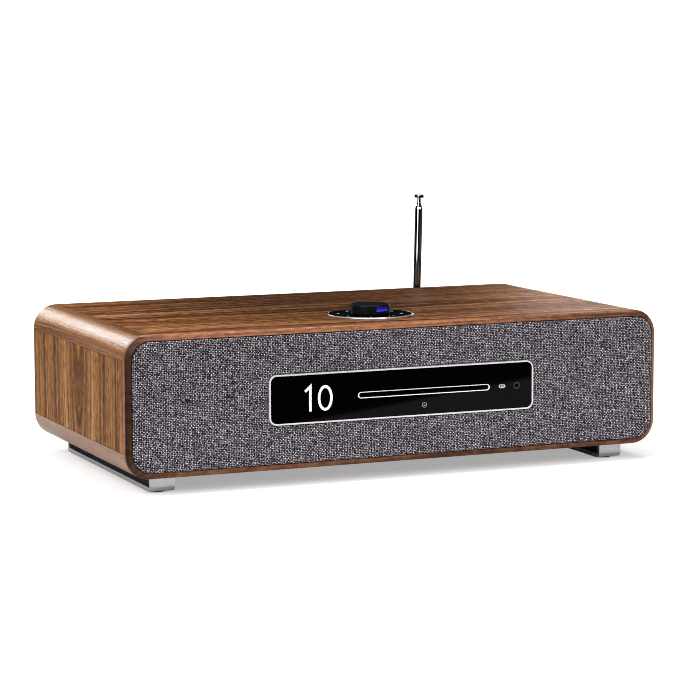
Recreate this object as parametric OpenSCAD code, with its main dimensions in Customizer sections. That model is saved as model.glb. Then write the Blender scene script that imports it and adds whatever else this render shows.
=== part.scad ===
// One-box hifi: a wooden shell with a cloth grille, a disc slot, a rotary control on top,
// two full-range drivers, a downward woofer and a telescopic aerial behind.
// The origin is at the bottom centre of the whole object, the front looks along -Y.

/* [Cabinet] */
// Overall width of the wooden shell
cabinet_w = 520; // [516:1:540]
// Height of the wooden shell, feet not counted
shell_h = 125.5; // [124:0.5:130]
// Depth of the wooden shell, border included
shell_d = 276; // [276:1:290]
// Outer radius of the four long edges
edge_r = 22; // [20:0.5:24]
// Thickness of the wooden panels
wall = 12; // [11:0.5:13]
// Width of the solid wood border round the grille
border_w = 5.4; // [5:0.1:6.5]

/* [Fascia] */
// Width of the fascia panel
fascia_w = 259; // [256:1:262]
// Height of the fascia panel
fascia_h = 44.6; // [44:0.2:48]
// Corner radius of the fascia panel
fascia_r = 7; // [6:0.5:9]
// Length of the trim round the disc slot
slot_w = 130; // [129:0.5:132]
// Height of the trim round the disc slot
slot_h = 5.6; // [5.4:0.1:6]
// Middle of the disc slot, to the right of the cabinet's middle
slot_x = 20; // [18:0.5:22]
// Middle of the eject button
eject_x = 97.5; // [97:0.5:98.5]
// Middle of the headphone jack
jack_x = 112.5; // [112:0.5:113.5]

/* [Control] */
// Outer radius of the silver ring round the control
dial_r = 39.9; // [39.5:0.1:41]
// Distance of the control from the front plane
dial_y = 73; // [70:1:80]
// Radius of the knob
knob_r = 18; // [17:0.5:18]
// Height of the knob above the cabinet top
knob_h = 9.8; // [9:0.2:10.6]

/* [Speakers] */
// Distance of each full-range driver from the middle
speaker_x = 190; // [186:1:192]
// Woofer place to the left of the middle
woofer_x = 140; // [139:1:142]
// Distance of the woofer from the front plane
woofer_y = 160; // [156:1:166]
// Place of the bass port, to the left of the middle
port_x = 40; // [38:1:46]

/* [Aerial] */
// Aerial place to the right of the middle
aerial_x = 146.5; // [144:0.5:156]
// Height of the collapsed aerial above the cabinet top
aerial_over = 93; // [80:0.5:100]
// Lean of the aerial to the right, in degrees
aerial_lean = 1.5; // [0:0.5:2]

/* [Feet] */
// Height of the feet, pads included
foot_h = 15.5; // [14:0.5:18]
// Width of each foot rail
foot_w = 22.5; // [20:0.5:26]
// Distance of each foot's middle from the cabinet's middle
foot_x = 221.8; // [216:0.2:224]

/* [Hidden] */
$fn = 64;

// Front to back: every distance below is counted from the front plane of the wooden border.
fascia_proud = 2.6;          // silver bezel in front of the border
button_proud = 3.2;          // eject button in front of the border
cloth_proud = 1.5;           // grille cloth in front of the border
aerial_y = shell_d + 14;     // aerial's own axis
cap_r = 4.75;                // tip cap of the aerial
front_y = -(aerial_y + cap_r - button_proud) / 2;
border_d = 9;                // depth of the solid wood border
panel_y = border_d;          // front edge of the wooden panels
panel_d = shell_d - border_d;
baffle_t = 12;
rear_t = 5;                  // thickness of the rear panel
rear_y = shell_d - 3;        // outer face of the rear panel
rear_in = rear_y - rear_t;   // inner face of the rear panel

// Heights
base_z = foot_h;
top_z = foot_h + shell_h;
mid_z = foot_h + shell_h / 2;
floor_z = base_z + wall;     // inner face of the bottom panel
flat_w = cabinet_w - 2 * edge_r;
flat_h = shell_h - 2 * edge_r;
fit = 0.3;                   // gap between pieces that drop into one another

// Grille
opening_w = cabinet_w - 2 * border_w;
opening_h = shell_h - 2 * border_w;
grille_gap = 0.6;
cloth_t = 1;
cloth_w = opening_w - 2 * grille_gap;
cloth_h = opening_h - 2 * grille_gap;
cloth_r = edge_r - border_w - grille_gap;
cloth_back = 4.5;            // where the cloth and its frame end, behind the front plane
frame_w = cloth_w - 2 * cloth_t;
frame_h = cloth_h - 2 * cloth_t;
frame_r = cloth_r - cloth_t;

// Fascia
bezel_w = 1.3;
window_t = 2.5;
window_y = -2.2;             // front face of the black window
window_back = window_y + window_t;
inner_w = fascia_w - 2 * bezel_w;
inner_h = fascia_h - 2 * bezel_w;
inner_r = fascia_r - bezel_w;
mouth_w = slot_w - 1.4;      // clear length of the disc slot
mouth_h = slot_h - 1;        // clear height of the disc slot
eject_w = 6.2;
eject_h = 3.2;
jack_r = 3.05;
jack_bore = 1.78;
board_y = 14;                // front face of the board behind the fascia
board_t = 1.6;

// Control: heights are counted from the cabinet top
ring_t = 0.9;                // silver ring above the wood
ring_flank = 0.5;            // how far the ring's side leans inward
dish_r = dial_r - 1.8;
dish_top = 0.8;              // outer edge of the black plate
dish_drop = 0.7;             // how far the black plate sinks towards the knob
well_r = knob_r + 1.2;       // round recess that the knob sinks into
base_t = 8;
knob_lift = 0.4;             // underside of the knob above the well's rim
shaft_r = 3;
window_a = -73;              // direction of the lit window's middle, in degrees
window_half = 21;
lit_h = 4.2;                 // height of the lit window
key_in = 22;
key_out = 36;
key_half = 18;               // half of the angle that a key covers
key_t = 2.2;
key_travel = 0.5;
key_count = 8;

// Drivers: each is drawn facing +Z with its flange's front face at z = 0
small = [45, 32.4, 26];      // flange radius, cone radius, depth to the magnet
large = [70, 54, 34];
coil_small = 9.3;            // inner radius of the voice coil's former
coil_large = 15.3;
magnet_small = [32, 20];     // radius and height of the magnet
magnet_large = [46, 28];
roll = 2.4;                  // radius of the rubber roll, small driver
roll_large = 4;
flange_t = 3;
lip_t = 0.8;                 // flat lip of the rubber roll
woofer_hole = large[0] - 7;  // hole in the bottom panel
guard_r = large[0] - 1.8;
guard_screw = large[0] - 5;  // screws that hold the guard, from its middle

// Aerial
pivot_z = base_z + 48.5;
socket_r = 4.76;
tube_r = [3.8, 3.1, 2.45];   // outer radii of the three tubes
tube_wall = 0.5;
rod_r = 1.8;
tube_bottom = pivot_z + 6;
tip_z = top_z + aerial_over;
cap_t = 3;
neck = 5;                    // rod seen between the tubes and the cap
stagger = 2.2;               // how far each tube stands out of the one before it
shoulder = 2;                // tapered end of the outer tube
tube_top = tip_z - cap_t - neck - 2 * stagger;

// Sockets on the rear panel
socket_z = base_z + 34.5;     // top of the main board
deck_z = base_z + 19.5;       // underside of the two lower boards
phono_x = [70, 90, 110];
phono_z = [base_z + 43.5, base_z + 59.5];
phono_r = 4.15;
phono_len = 9;               // barrel outside the rear panel
net_x = 10;
optical_x = 32;
usb_x = 50;
mains_x = 212;
mains_z = base_z + 38.5;

// Feet
rail_t = 3.7;
pad_t = 1.3;
rail_front = 18;
rail_back = 260;
rail_r = 5;

// Disc drive
drive_w = 146;
drive_y = 22;
drive_d = 150;
drive_up = 12;
drive_down = 15;
sheet_t = 1.5;
seam = 0.1;                  // gap between the drive's plates
spindle_y = 96;

// ---- shared outlines -------------------------------------------------------------------

// Rectangle with round corners, centred.
module round_rect(w, h, r) {
    square([w, h - 2 * r], center = true);
    square([w - 2 * r, h], center = true);
    for (x = [-1, 1], y = [-1, 1])
        translate([x * (w / 2 - r), y * (h / 2 - r)]) circle(r);
}

// Slot outline with fully round ends, centred.
module pill(w, h) {
    square([w - h, h], center = true);
    for (x = [-1, 1]) translate([x * (w - h) / 2, 0]) circle(h / 2);
}

// Closed band between two rounded rectangles.
module band(w, h, r, width) {
    difference() {
        round_rect(w, h, r);
        round_rect(w - 2 * width, h - 2 * width, max(r - width, 0.5));
    }
}

// Stands an outline up at mid height: its front face is y behind the front plane.
module upright(y, depth) {
    translate([0, front_y + y + depth, mid_z]) rotate([90, 0, 0]) linear_extrude(depth)
        children();
}

// Sweeps a profile round a rounded rectangle that lies flat. The profile's X is the distance
// from the corner's centre and its Y is the height.
module swept_border(w, h, r) {
    half = [w / 2 - r, h / 2 - r];
    for (q = [0:3]) {
        a = half[q % 2];
        b = half[(q + 1) % 2];
        rotate([0, 0, 90 * q]) {
            translate([a, b, 0]) rotate_extrude(angle = 90) children();
            translate([a, b, 0]) rotate([90, 0, 0]) linear_extrude(2 * b) children();
        }
    }
}

// Places a piece on the cabinet: x from the middle, y from the front plane.
module at(x, y, z) { translate([x, front_y + y, z]) children(); }

// Box from its corner, with y from the front plane.
module block(x, y, z, w, d, h) { at(x, y, z) cube([w, d, h]); }

// ---- wooden shell ----------------------------------------------------------------------

module top_panel() color("#8a6243") difference() {
    block(-flat_w / 2, panel_y, top_z - wall, flat_w, panel_d, wall);
    at(0, dial_y, top_z - wall - 1) cylinder(r = dish_r + 0.6, h = wall + 2);
}

module bottom_panel() color("#8a6243") difference() {
    block(-flat_w / 2, panel_y, base_z, flat_w, panel_d, wall);
    at(-woofer_x, woofer_y, base_z - 1) cylinder(r = woofer_hole, h = wall + 2);
    at(-woofer_x, woofer_y, base_z - 1) cylinder(r = guard_r + fit, h = 3);
    for (a = [45:90:315]) at(-woofer_x, woofer_y, base_z - 1)
        rotate(a) translate([guard_screw, 0, 0]) cylinder(r = 1.55, h = wall - 1);
}

// Side panel with the batten that the rear panel is screwed to.
module side_panel(side) color("#9a6c52") difference() {
    mirror([side < 0 ? 1 : 0, 0, 0]) {
        block(cabinet_w / 2 - wall, panel_y, base_z + edge_r, wall, panel_d, flat_h);
        block(cabinet_w / 2 - wall - 14, rear_in - 14, base_z + edge_r, 14, 14, flat_h);
    }
    for (z = [-1, 1]) at(side * (cabinet_w / 2 - wall - 7), rear_in - 13, mid_z + z * 30)
        rotate([-90, 0, 0]) cylinder(r = 1.55, h = 14);
}

module left_panel() side_panel(-1);
module right_panel() side_panel(1);

module corner_mouldings() color("#a87a62")
    upright(panel_y, panel_d)
        for (x = [-1, 1], z = [-1, 1])
            translate([x * flat_w / 2, z * flat_h / 2]) intersection() {
                difference() {
                    circle(edge_r);
                    circle(edge_r - wall);
                }
                translate([x > 0 ? 0 : -edge_r, z > 0 ? 0 : -edge_r]) square(edge_r);
            }

// Solid wood border, its face sloping back to the outer edge.
module front_surround() color("#76533d")
    translate([0, front_y + border_d, mid_z]) rotate([90, 0, 0])
        swept_border(cabinet_w, shell_h, edge_r) {
            inner = edge_r - border_w;
            polygon([[inner, 0], [inner, border_d - 0.6], [inner + 0.6, border_d],
                     [edge_r - 1, border_d - 3.2], [edge_r - 0.3, border_d - 3.8],
                     [edge_r, border_d - 4.6], [edge_r, 0]]);
        }

module rear_panel() color("#1a1a1c") difference() {
    upright(rear_in, rear_t) difference() {
        round_rect(cabinet_w - 2 * (wall + fit), shell_h - 2 * (wall + fit),
                   edge_r - wall - fit);
        translate([-port_x, 0]) circle(22.3);
        for (x = phono_x, z = phono_z) translate([x, z - mid_z]) circle(phono_r + 0.6);
        translate([phono_x[2] + 18, phono_z[0] - mid_z]) circle(2.3);
        translate([net_x, socket_z + 7 - mid_z]) square([16.4, 14.4], center = true);
        translate([optical_x, socket_z + 6 - mid_z]) square([10.4, 10.4], center = true);
        translate([usb_x, socket_z + 3 - mid_z]) pill(10.4, 4.6);
        translate([mains_x, mains_z - mid_z]) pill(24.6, 15.6);
        translate([aerial_x, pivot_z - mid_z]) circle(socket_r + 0.3);
        for (x = [-1, 1], z = [-30, 30])
            translate([x * (cabinet_w / 2 - wall - 7), z]) circle(1.8);
    }
}

// ---- front -----------------------------------------------------------------------------

module baffle() color("#3a3634") difference() {
    upright(panel_y, baffle_t) difference() {
        round_rect(cabinet_w - 2 * (wall + fit), shell_h - 2 * (wall + fit),
                   edge_r - wall - fit);
        round_rect(242, 40, 3);
        for (x = [-1, 1]) translate([x * speaker_x, 0]) circle(small[0] - 7);
    }
    upright(panel_y - 1, flange_t + 1)
        for (x = [-1, 1]) translate([x * speaker_x, 0]) circle(small[0] + 0.2);
}

module grille_frame() color("#202022")
    upright(-cloth_proud + cloth_t, cloth_back + cloth_proud - cloth_t) {
        band(frame_w, frame_h, frame_r, 7);
        band(fascia_w + 2 * 6.5, fascia_h + 2 * 6.5, fascia_r + 6.5, 5.9);
        for (x = [-1, 1]) {
            translate([x * speaker_x, 0]) difference() {
                circle(48);
                circle(44);
            }
            translate([x * (speaker_x + 52), 0]) square([11, 6], center = true);
            translate([x * (speaker_x - 50), 0]) square([8, 6], center = true);
            for (z = [-1, 1]) {
                translate([x * 70, z * 39]) square([6, 22], center = true);
                translate([x * speaker_x, z * 49]) square([6, 6], center = true);
            }
        }
    }

// Cloth with its turned-over edge; it is cut out round the fascia.
module grille_cloth() color("#6a666b") {
    upright(-cloth_proud, cloth_t) difference() {
        round_rect(cloth_w - 2, cloth_h - 2, cloth_r - 1);
        round_rect(fascia_w + 0.6, fascia_h + 0.6, fascia_r + 0.3);
    }
    translate([0, front_y + cloth_back, mid_z]) rotate([90, 0, 0])
        swept_border(cloth_w, cloth_h, cloth_r) {
            edge = cloth_back + cloth_proud;
            polygon([[cloth_r - cloth_t, 0], [cloth_r - cloth_t, edge], [cloth_r - 0.6, edge - 0.2],
                     [cloth_r, edge - 0.9], [cloth_r, 0]]);
        }
}

module fascia_bezel() color("#c9cacc") {
    upright(-fascia_proud, panel_y + fascia_proud) band(fascia_w, fascia_h, fascia_r, bezel_w);
    upright(window_back, panel_y - window_back)
        band(fascia_w - bezel_w, fascia_h - bezel_w, fascia_r - 0.6, 4.5);
}

// Tray in the baffle's opening that holds the display board and guides the disc.
module fascia_carrier() color("#262628") difference() {
    upright(panel_y, 10) round_rect(241.4, 39.4, 2.7);
    upright(panel_y - 1, 8) round_rect(237, 35, 1.5);
    upright(panel_y, 11) translate([slot_x, 0]) pill(mouth_w + 7, mouth_h + 4);
    upright(panel_y, 11) translate([(eject_x + jack_x) / 2, 0]) square([26, 14], center = true);
}

module fascia_window() color("#0b0b0d")
    upright(window_y, window_t) difference() {
        round_rect(inner_w - 0.2, inner_h - 0.2, inner_r - 0.1);
        translate([slot_x, 0]) pill(slot_w + 0.2, slot_h + 0.2);
        translate([eject_x, 0]) pill(eject_w + 0.6, eject_h + 0.6);
        translate([jack_x, 0]) circle(jack_r + 0.1);
    }

module slot_trim() color("#d0d0d2") {
    upright(-fascia_proud - 0.3, 9) translate([slot_x, 0]) difference() {
        pill(slot_w, slot_h);
        pill(mouth_w, mouth_h);
    }
    upright(window_back, 1.5) translate([slot_x, 0]) difference() {
        pill(slot_w + 4, slot_h + 4);
        pill(slot_w - 1, slot_h - 1);
    }
}

// Board behind the fascia: display, eject switch and four posts into the carrier.
module display_board() color("#1d4a2c") {
    upright(board_y, board_t) difference() {
        round_rect(236, 34, 1);
        translate([slot_x, 0]) pill(mouth_w + 7, mouth_h + 6);
        translate([jack_x, 0]) circle(2);
    }
    block(-118, window_back + 0.4, mid_z - 13, 66, board_y - window_back - 0.4, 26);
    block(eject_x - 3, 5.4, mid_z - 3, 6, board_y - 5.4, 6);
}

module eject_button() color("#c4c5c8") {
    upright(-button_proud, window_back + button_proud + 0.7) translate([eject_x, 0])
        pill(eject_w, eject_h);
    upright(window_back + 0.2, 1) translate([eject_x, 0]) pill(eject_w + 2, eject_h + 2.2);
    upright(window_back + 1.2, 2.9) translate([eject_x, 0]) circle(1.2);
}

module headphone_jack() color("#2c2c30") difference() {
    union() {
        upright(-fascia_proud - 0.1, 6) translate([jack_x, 0]) circle(jack_r);
        upright(window_back + 0.1, board_y - window_back - 0.1) translate([jack_x, 0])
            square([11, 12], center = true);
    }
    upright(-fascia_proud - 1, 15) translate([jack_x, 0]) circle(jack_bore);
}

// ---- loudspeakers ----------------------------------------------------------------------

// Where a driver stands: side -1 and 1 are the front ones, 0 is the woofer.
module at_driver(side) {
    if (side == 0) at(-woofer_x, woofer_y, floor_z) rotate([180, 0, 0]) children();
    else at(side * speaker_x, panel_y, mid_z) rotate([90, 0, 0]) children();
}

// Pressed basket: flange, sloping wall with four windows and a plate on the magnet.
module basket(size, flange_z, plate_in) {
    rim = size[0];
    depth = size[2];
    wall_top = rim - 7.4;
    foot = plate_in + 11;
    difference() {
        rotate_extrude() {
            translate([wall_top - 1.6, flange_z - flange_t]) square([rim - wall_top + 1.6, flange_t]);
            polygon([[wall_top - 1.6, flange_z - flange_t + 0.2], [wall_top, flange_z - flange_t],
                     [foot + 1.6, -depth], [plate_in, -depth], [plate_in, -depth + 1.6],
                     [foot, -depth + 1.6]]);
        }
        for (a = [0:90:270]) rotate([0, 0, a + 45])
            translate([foot - 3, -foot / 2, -depth + 4]) cube([rim, foot, depth - 12]);
    }
}

module magnet(size, depth, coil) {
    r = size[0];
    h = size[1];
    translate([0, 0, -depth]) rotate_extrude() {
        difference() {
            translate([0, -h]) square([r, h]);
            translate([coil - 0.5, -h + 4]) square([1.5, h]);
            translate([coil - 0.5, -h + 4]) square([5, h - 8]);
            translate([r - 2, -4]) square([3, 5]);
        }
    }
}

// Half-round rubber roll between cone and flange.
module roll_ring(cone_r, radius, lip_r, z) {
    rotate_extrude() {
        translate([cone_r + 0.4 + radius, z]) difference() {
            circle(radius, $fn = 32);
            circle(radius - 0.8, $fn = 32);
            translate([-radius - 1, -radius - 2]) square([2 * radius + 2, radius + 2]);
        }
        translate([cone_r + 2 * radius - 0.4, z])
            square([lip_r - cone_r - 2 * radius + 0.4, lip_t]);
    }
}

// Cone, dust cap and voice coil former in one moving piece.
module cone(cone_r, coil, rim_z, depth, magnet_h) {
    neck_z = -depth * 0.6;
    cap = coil + 3.5;
    cap_z = neck_z + 3.5 * (rim_z - neck_z) / (cone_r - coil);
    rotate_extrude() {
        polygon([[coil, neck_z], [cone_r, rim_z - 0.9], [cone_r, rim_z], [coil, neck_z + 1.1]]);
        translate([coil, -depth - magnet_h * 0.5]) square([0.5, depth * 0.4 + magnet_h * 0.5 + 0.5]);
        intersection() {
            translate([0, cap_z + 4 - cap * 1.6]) difference() {
                circle(cap * 1.6);
                circle(cap * 1.6 - 0.8);
            }
            translate([0, cap_z - 2]) square([cap, 8]);
        }
    }
}

module driver_baskets() color("#2a2a2c") {
    for (side = [-1, 1]) at_driver(side) basket(small, 0, coil_small + 1.5);
    at_driver(0) basket(large, -lip_t, coil_large + 1.5);
}

module driver_magnets() color("#3c3c3e") {
    for (side = [-1, 1]) at_driver(side) magnet(magnet_small, small[2], coil_small);
    at_driver(0) magnet(magnet_large, large[2], coil_large);
}

module driver_surrounds() color("#17171a") {
    for (side = [-1, 1]) at_driver(side) roll_ring(small[1], roll, small[0] - 4, 0);
    at_driver(0) roll_ring(large[1], roll_large, large[0], -lip_t);
}

module left_cone() color("#3d3d40") at_driver(-1)
    cone(small[1], coil_small, -1, small[2], magnet_small[1]);
module right_cone() color("#3d3d40") at_driver(1)
    cone(small[1], coil_small, -1, small[2], magnet_small[1]);
module woofer_cone() color("#343437") at_driver(0)
    cone(large[1], coil_large, -2, large[2], magnet_large[1]);

module woofer_guard() color("#1c1c1e") at(-woofer_x, woofer_y, base_z + 0.2) linear_extrude(1.6)
    difference() {
        circle(guard_r);
        for (ring = [10:9:55]) difference() {
            circle(ring + 6);
            circle(ring);
            for (a = [0:45:315]) rotate(a) translate([0, -1.5]) square([large[0], 3]);
        }
        for (a = [45:90:315]) rotate(a) translate([guard_screw, 0]) circle(1.7);
    }

// Round port: a flared mouth on the rear panel and a tube inside.
module bass_port() color("#202022") at(-port_x, rear_y, mid_z) rotate([-90, 0, 0])
    rotate_extrude() difference() {
        union() {
            translate([0, 0]) square([27, 2]);
            translate([0, -72]) square([22, 73]);
        }
        translate([0, -73]) square([19.5, 80]);
        translate([19.5, -3]) polygon([[-1, 0], [0, 0], [0.5, 2], [1.5, 3.6], [3.4, 5.1], [-1, 5.1]]);
    }

// ---- electronics -----------------------------------------------------------------------

module standoffs(xs, ys, top) {
    for (x = xs, y = ys) at(x, y, floor_z) cylinder(r = 3, h = top - floor_z);
}

module main_board() color("#1d4a2c") {
    block(-2, 196, socket_z - 1.6, 134, rear_in - 196 - 1, 1.6);
    standoffs([4, 126], [202, 258], socket_z - 1.6);
    color("#222226") {
        block(30, 205, socket_z, 24, 24, 2.4);
        block(70, 206, socket_z, 16, 16, 2);
        block(96, 212, socket_z, 20, 10, 8);
    }
}

module amplifier_board() color("#1d4a2c") {
    block(-70, 180, deck_z, 66, 74, board_t);
    standoffs([-64, -10], [186, 248], deck_z);
    color("#9a9c9f") {
        block(-58, 190, deck_z + board_t, 42, 50, 3);
        for (i = [0:7]) block(-58 + i * 5.7, 190, deck_z + board_t + 3, 2.1, 50, 11);
    }
}

module power_supply() color("#1d4a2c") {
    block(166, 110, deck_z, 68, 124, board_t);
    standoffs([172, 228], [116, 228], deck_z);
    color("#4b4436") block(176, 124, deck_z + board_t, 40, 38, 32);
    color("#2b3550") for (y = [176, 196]) at(184, y, deck_z + board_t)
        cylinder(r = 8, h = 26);
    color("#c9b48a") block(200, 172, deck_z + board_t, 18, 26, 16);
}

// ---- sockets on the back ---------------------------------------------------------------

// Six phono sockets and the ground post beside them.
module line_sockets() color("#b9bbbe") {
    for (x = phono_x) {
        color("#2c2c30") block(x - 7, rear_in - 12, socket_z, 14, 12, phono_z[1] + 8 - socket_z);
        for (z = phono_z) at(x, rear_in, z) rotate([-90, 0, 0]) difference() {
            union() {
                cylinder(r = phono_r + 0.4, h = rear_t);
                cylinder(r = phono_r, h = rear_t + phono_len);
            }
            translate([0, 0, rear_t]) cylinder(r = 1.65, h = phono_len + 1);
        }
    }
    at(phono_x[2] + 18, rear_in - 6, phono_z[0]) rotate([-90, 0, 0]) {
        cylinder(r = 5, h = 6);
        cylinder(r = 2, h = rear_t + 13);
        translate([0, 0, rear_t + 6]) cylinder(r = 4, h = 6);
    }
}

// Network, optical and USB sockets; each housing comes through the rear panel.
module digital_sockets() color("#8f9296") {
    difference() {
        block(net_x - 8, rear_in - 14, socket_z, 16, rear_t + 14, 14);
        block(net_x - 5.9, rear_y - 13, socket_z + 3, 11.8, 14, 8.4);
    }
    color("#17171a") difference() {
        block(optical_x - 5, rear_in - 12, socket_z + 1, 10, rear_t + 12, 10);
        block(optical_x - 3.3, rear_y - 11, socket_z + 2.7, 6.6, 12, 6.6);
    }
    color("#17171a") block(optical_x - 5, rear_in - 12, socket_z, 10, 11.8, 1);
    difference() {
        union() {
            at(usb_x, rear_in - 6, socket_z + 3) rotate([-90, 0, 0])
                linear_extrude(rear_t + 6) pill(9.8, 4);
            block(usb_x - 5, rear_in - 9, socket_z, 10, 8, 6);
        }
        at(usb_x, rear_y - 7, socket_z + 3) rotate([-90, 0, 0]) linear_extrude(8) pill(8.8, 3);
    }
}

// Shutter of the optical socket, hung from the top of its cavity.
module optical_shutter() color("#101012") {
    block(optical_x - 3, rear_y - 1.6, socket_z + 3, 6, 0.8, 5.4);
    at(optical_x - 3, rear_y - 1.2, socket_z + 8.5) rotate([0, 90, 0]) cylinder(r = 0.6, h = 6);
}

// Figure-eight mains inlet with its two pins.
module mains_inlet() color("#141416") {
    at(mains_x, rear_in - 14, mains_z) rotate([-90, 0, 0]) {
        difference() {
            linear_extrude(rear_t + 14) pill(24, 15);
            translate([0, 0, 5]) linear_extrude(20) pill(17.4, 9.4);
        }
        color("#b9bbbe") for (x = [-4.3, 4.3]) translate([x, 0, 4]) cylinder(r = 1.2, h = 11);
    }
    block(mains_x - 9, rear_in - 14, deck_z + board_t, 18, 12, mains_z - 5 - deck_z - board_t);
}

// ---- aerial ----------------------------------------------------------------------------

module antenna_socket() color("#c2a25a") {
    at(aerial_x, rear_in, pivot_z) rotate([-90, 0, 0]) {
        difference() {
            cylinder(r = socket_r, h = rear_t + 9);
            translate([0, 0, 4]) cylinder(r = 1.4, h = 20);
        }
        translate([0, 0, -10]) cylinder(r = 7, h = 10);
        translate([0, 0, rear_t]) difference() {
            cylinder(r = 7.5, h = 2, $fn = 6);
            translate([0, 0, -1]) cylinder(r = socket_r - 0.2, h = 4);
        }
    }
}

// The aerial turns as a whole on its socket and rests a little off upright.
module leaning() {
    at(aerial_x, 0, pivot_z) rotate([0, aerial_lean, 0]) translate([0, 0, -pivot_z]) children();
}

module mast() { leaning() translate([0, aerial_y, 0]) children(); }

// Turning collar on the socket with the fork that holds the aerial.
module antenna_elbow() color("#c8cacd") leaning() translate([0, 0, pivot_z]) {
    translate([0, rear_y + 2.4, 0]) rotate([-90, 0, 0]) difference() {
        cylinder(r = 6.6, h = 9.2);
        translate([0, 0, -1]) cylinder(r = socket_r + 0.08, h = 8.4);
    }
    translate([-4.4, rear_y + 9.8, -4.5]) cube([8.8, 2, 9]);
    for (x = [-4.4, 2.5]) difference() {
        union() {
            translate([x, aerial_y, 0]) rotate([0, 90, 0]) cylinder(r = 4.5, h = 1.9);
            translate([x, rear_y + 11, -4.5]) cube([1.9, aerial_y - rear_y - 11, 9]);
        }
    }
    translate([-5, aerial_y, 0]) rotate([0, 90, 0]) cylinder(r = 1.2, h = 10);
}

// Outer tube with its hinge tongue and tapered shoulder.
module antenna_tube_1() color("#d8dadd") mast() {
    difference() {
        union() {
            translate([-2.3, 0, pivot_z]) rotate([0, 90, 0]) cylinder(r = 4.2, h = 4.6);
            translate([-2.3, -3, pivot_z]) cube([4.6, 6, 6]);
        }
        translate([-3, 0, pivot_z]) rotate([0, 90, 0]) cylinder(r = 1.26, h = 6);
    }
    translate([0, 0, tube_bottom - 1]) rotate_extrude() {
        inner = tube_r[0] - tube_wall;
        end = tube_top - shoulder - tube_bottom + 1;
        square([tube_r[0], 3]);
        polygon([[inner, 2], [inner, end], [tube_r[1] + 0.06, end + 1],
                 [tube_r[1] + 0.06, end + shoulder], [tube_r[1] + 0.3, end + shoulder],
                 [tube_r[0], end], [tube_r[0], 2]]);
    }
}

// Inner tube number i, which slides in the one before it.
module inner_tube(i) color("#d8dadd") mast() {
    outer = tube_r[i];
    next = i == 2 ? rod_r : tube_r[i + 1];
    low = tube_bottom + 3 + 2 * i;
    high = tube_top + stagger * i;
    rotate_extrude() polygon([[0, low], [0, low + 1], [outer - tube_wall, low + 1],
                              [outer - tube_wall, high - 3], [next + 0.06, high - 2.4],
                              [next + 0.06, high], [outer - 0.4, high], [outer, high - 0.8],
                              [outer, low]]);
}

module antenna_tube_2() inner_tube(1);
module antenna_tube_3() inner_tube(2);

module antenna_rod() color("#d8dadd") mast() rotate_extrude()
    polygon([[0, tube_bottom + 9], [0, tip_z], [cap_r - 0.6, tip_z], [cap_r, tip_z - 0.6],
             [cap_r, tip_z - cap_t + 0.4], [cap_r - 0.4, tip_z - cap_t], [rod_r, tip_z - cap_t],
             [rod_r, tube_bottom + 9]]);

// ---- control on top --------------------------------------------------------------------

// Height of the dished plate at radius r, counted from the cabinet top.
function dish(r) = dish_top - dish_drop * (dish_r - r) / (dish_r - well_r);

module at_dial() { at(0, dial_y, top_z) children(); }

module dial_ring() color("#d6d7d9") at_dial() rotate_extrude()
    polygon([[dish_r + 0.15, -wall], [dish_r + 0.5, -wall], [dish_r + 0.5, 0], [dial_r, 0],
             [dial_r, 0.3], [dial_r - ring_flank, ring_t - 0.2],
             [dial_r - ring_flank - 0.2, ring_t], [dish_r + 0.35, ring_t],
             [dish_r + 0.15, ring_t - 0.2]]);

// Outline of one key from the side; grow widens it into its pocket.
module key_profile(grow, depth) {
    polygon([[key_in - grow, dish(key_in - grow) + (grow > 0 ? 1 : 0)],
             [key_out + grow, dish(key_out + grow) + (grow > 0 ? 1 : 0)],
             [key_out + grow, dish(key_in) - depth], [key_in - grow, dish(key_in) - depth]]);
}

module key_sector(i, grow, depth) {
    half = key_half + grow * 2.2;
    rotate([0, 0, 22.5 + 45 * (i - 1) - half]) rotate_extrude(angle = 2 * half)
        key_profile(grow, depth);
}

module dial_base() color("#08080a") at_dial() difference() {
    rotate_extrude() polygon([[shaft_r + 1.4, -base_t], [dish_r, -base_t], [dish_r, dish(dish_r)],
                              [well_r, dish(well_r)], [well_r, dish(well_r) - 1.6],
                              [shaft_r + 1.4, dish(well_r) - 1.6]]);
    for (i = [1:key_count]) {
        key_sector(i, fit, key_t + key_travel + 0.2);
        rotate([0, 0, 22.5 + 45 * (i - 1)]) translate([29, 0, -base_t - 1])
            cylinder(r = 2.3, h = base_t);
    }
}

module key(i) color("#111114") at_dial() {
    key_sector(i, 0, key_t);
    rotate([0, 0, 22.5 + 45 * (i - 1)]) translate([29, 0, -base_t])
        cylinder(r = 2, h = base_t + dish(key_in) - key_t + 0.2);
}

module key_1() key(1);
module key_2() key(2);
module key_3() key(3);
module key_4() key(4);
module key_5() key(5);
module key_6() key(6);
module key_7() key(7);
module key_8() key(8);

// Knob with rounded edges, a shallow hollow in its top and a bore for the shaft.
module dial_knob() color("#17171a") at_dial() {
    low = dish(well_r) + knob_lift;
    difference() {
        rotate_extrude() {
            polygon([[shaft_r + 0.02, low], [knob_r - 0.9, low], [knob_r - 0.2, low + 0.5],
                     [knob_r, low + 1.2], [knob_r, knob_h - 1.2], [knob_r - 0.3, knob_h - 0.4],
                     [knob_r - 1.1, knob_h], [knob_r - 2.2, knob_h - 0.1],
                     [knob_r - 3.2, knob_h - 0.5], [0, knob_h - 0.7], [0, knob_h - 2.5],
                     [shaft_r + 0.02, knob_h - 2.5]]);
        }
        light_sector(0.05, 0.1);
    }
}

// Lit window let into the side of the knob, facing the front and a little to the right.
module light_sector(grow, out) {
    rotate([0, 0, window_a - window_half - grow])
        rotate_extrude(angle = 2 * (window_half + grow))
            translate([knob_r - 1.6 - grow, knob_h - 1.5 - lit_h - grow])
                square([1.6 + grow + out, lit_h + 2 * grow]);
}

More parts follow.
